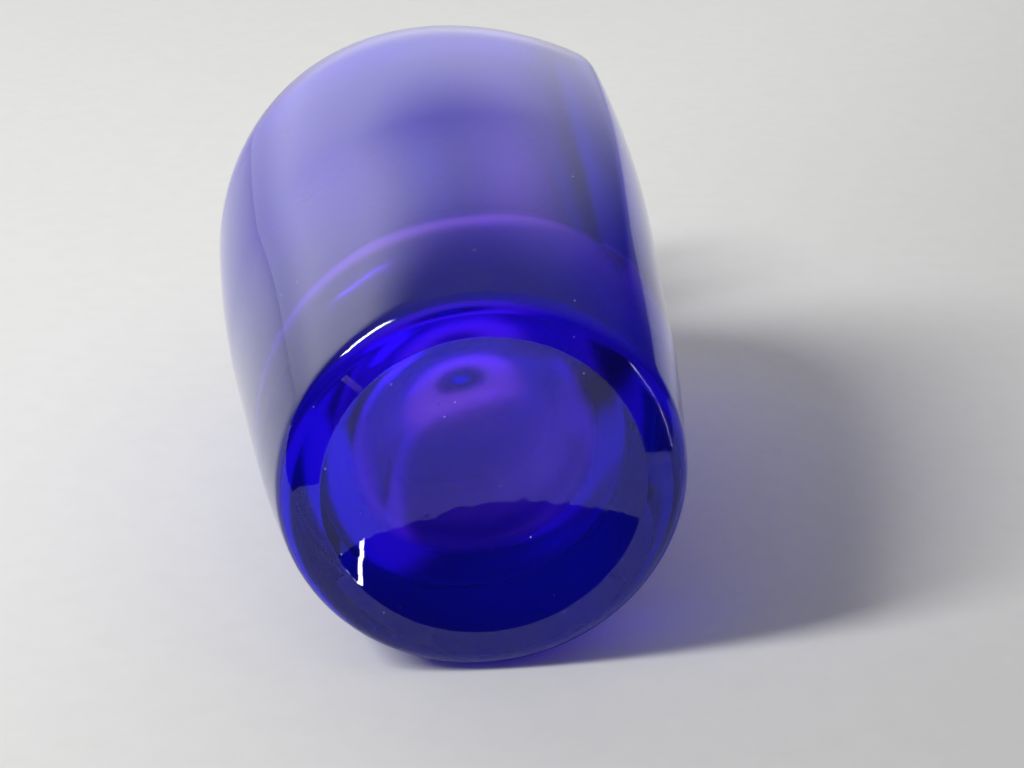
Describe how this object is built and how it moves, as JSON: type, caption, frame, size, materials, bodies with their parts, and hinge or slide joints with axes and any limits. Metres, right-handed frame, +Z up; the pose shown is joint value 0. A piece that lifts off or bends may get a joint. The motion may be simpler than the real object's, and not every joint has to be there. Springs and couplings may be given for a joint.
{
  "type": "stoppered glass bottle",
  "caption": "Cobalt-blue blown glass bottle with ridged faces, a thick dished base and a ball stopper that stands in a cork sleeve in the neck.",
  "frame": {"origin": "centre of the flat ring that the bottle stands on", "axes": "+Z up the neck, +X out through a ridge of the body, +Y out of the middle of a face"},
  "size_m": [0.0632, 0.0542, 0.141],
  "materials": {
    "cobalt_glass": "polished",
    "cork": "cut cork"
  },
  "bodies": {
    "bottle": {"bottle": "cobalt_glass"},
    "cork": {"shell_cork": "cork"},
    "stopper": {"stopper": "cobalt_glass"}
  },
  "joints": [
    {"name": "cork_pull", "type": "slide", "parent": "bottle", "child": "cork", "axis": [0, 0, 1], "range_m": [0, 0.045]},
    {"name": "stopper_turn", "type": "hinge", "parent": "cork", "child": "stopper", "pos_m": [0, 0, 0.122], "axis": [0, 0, 1], "continuous": true}
  ]
}
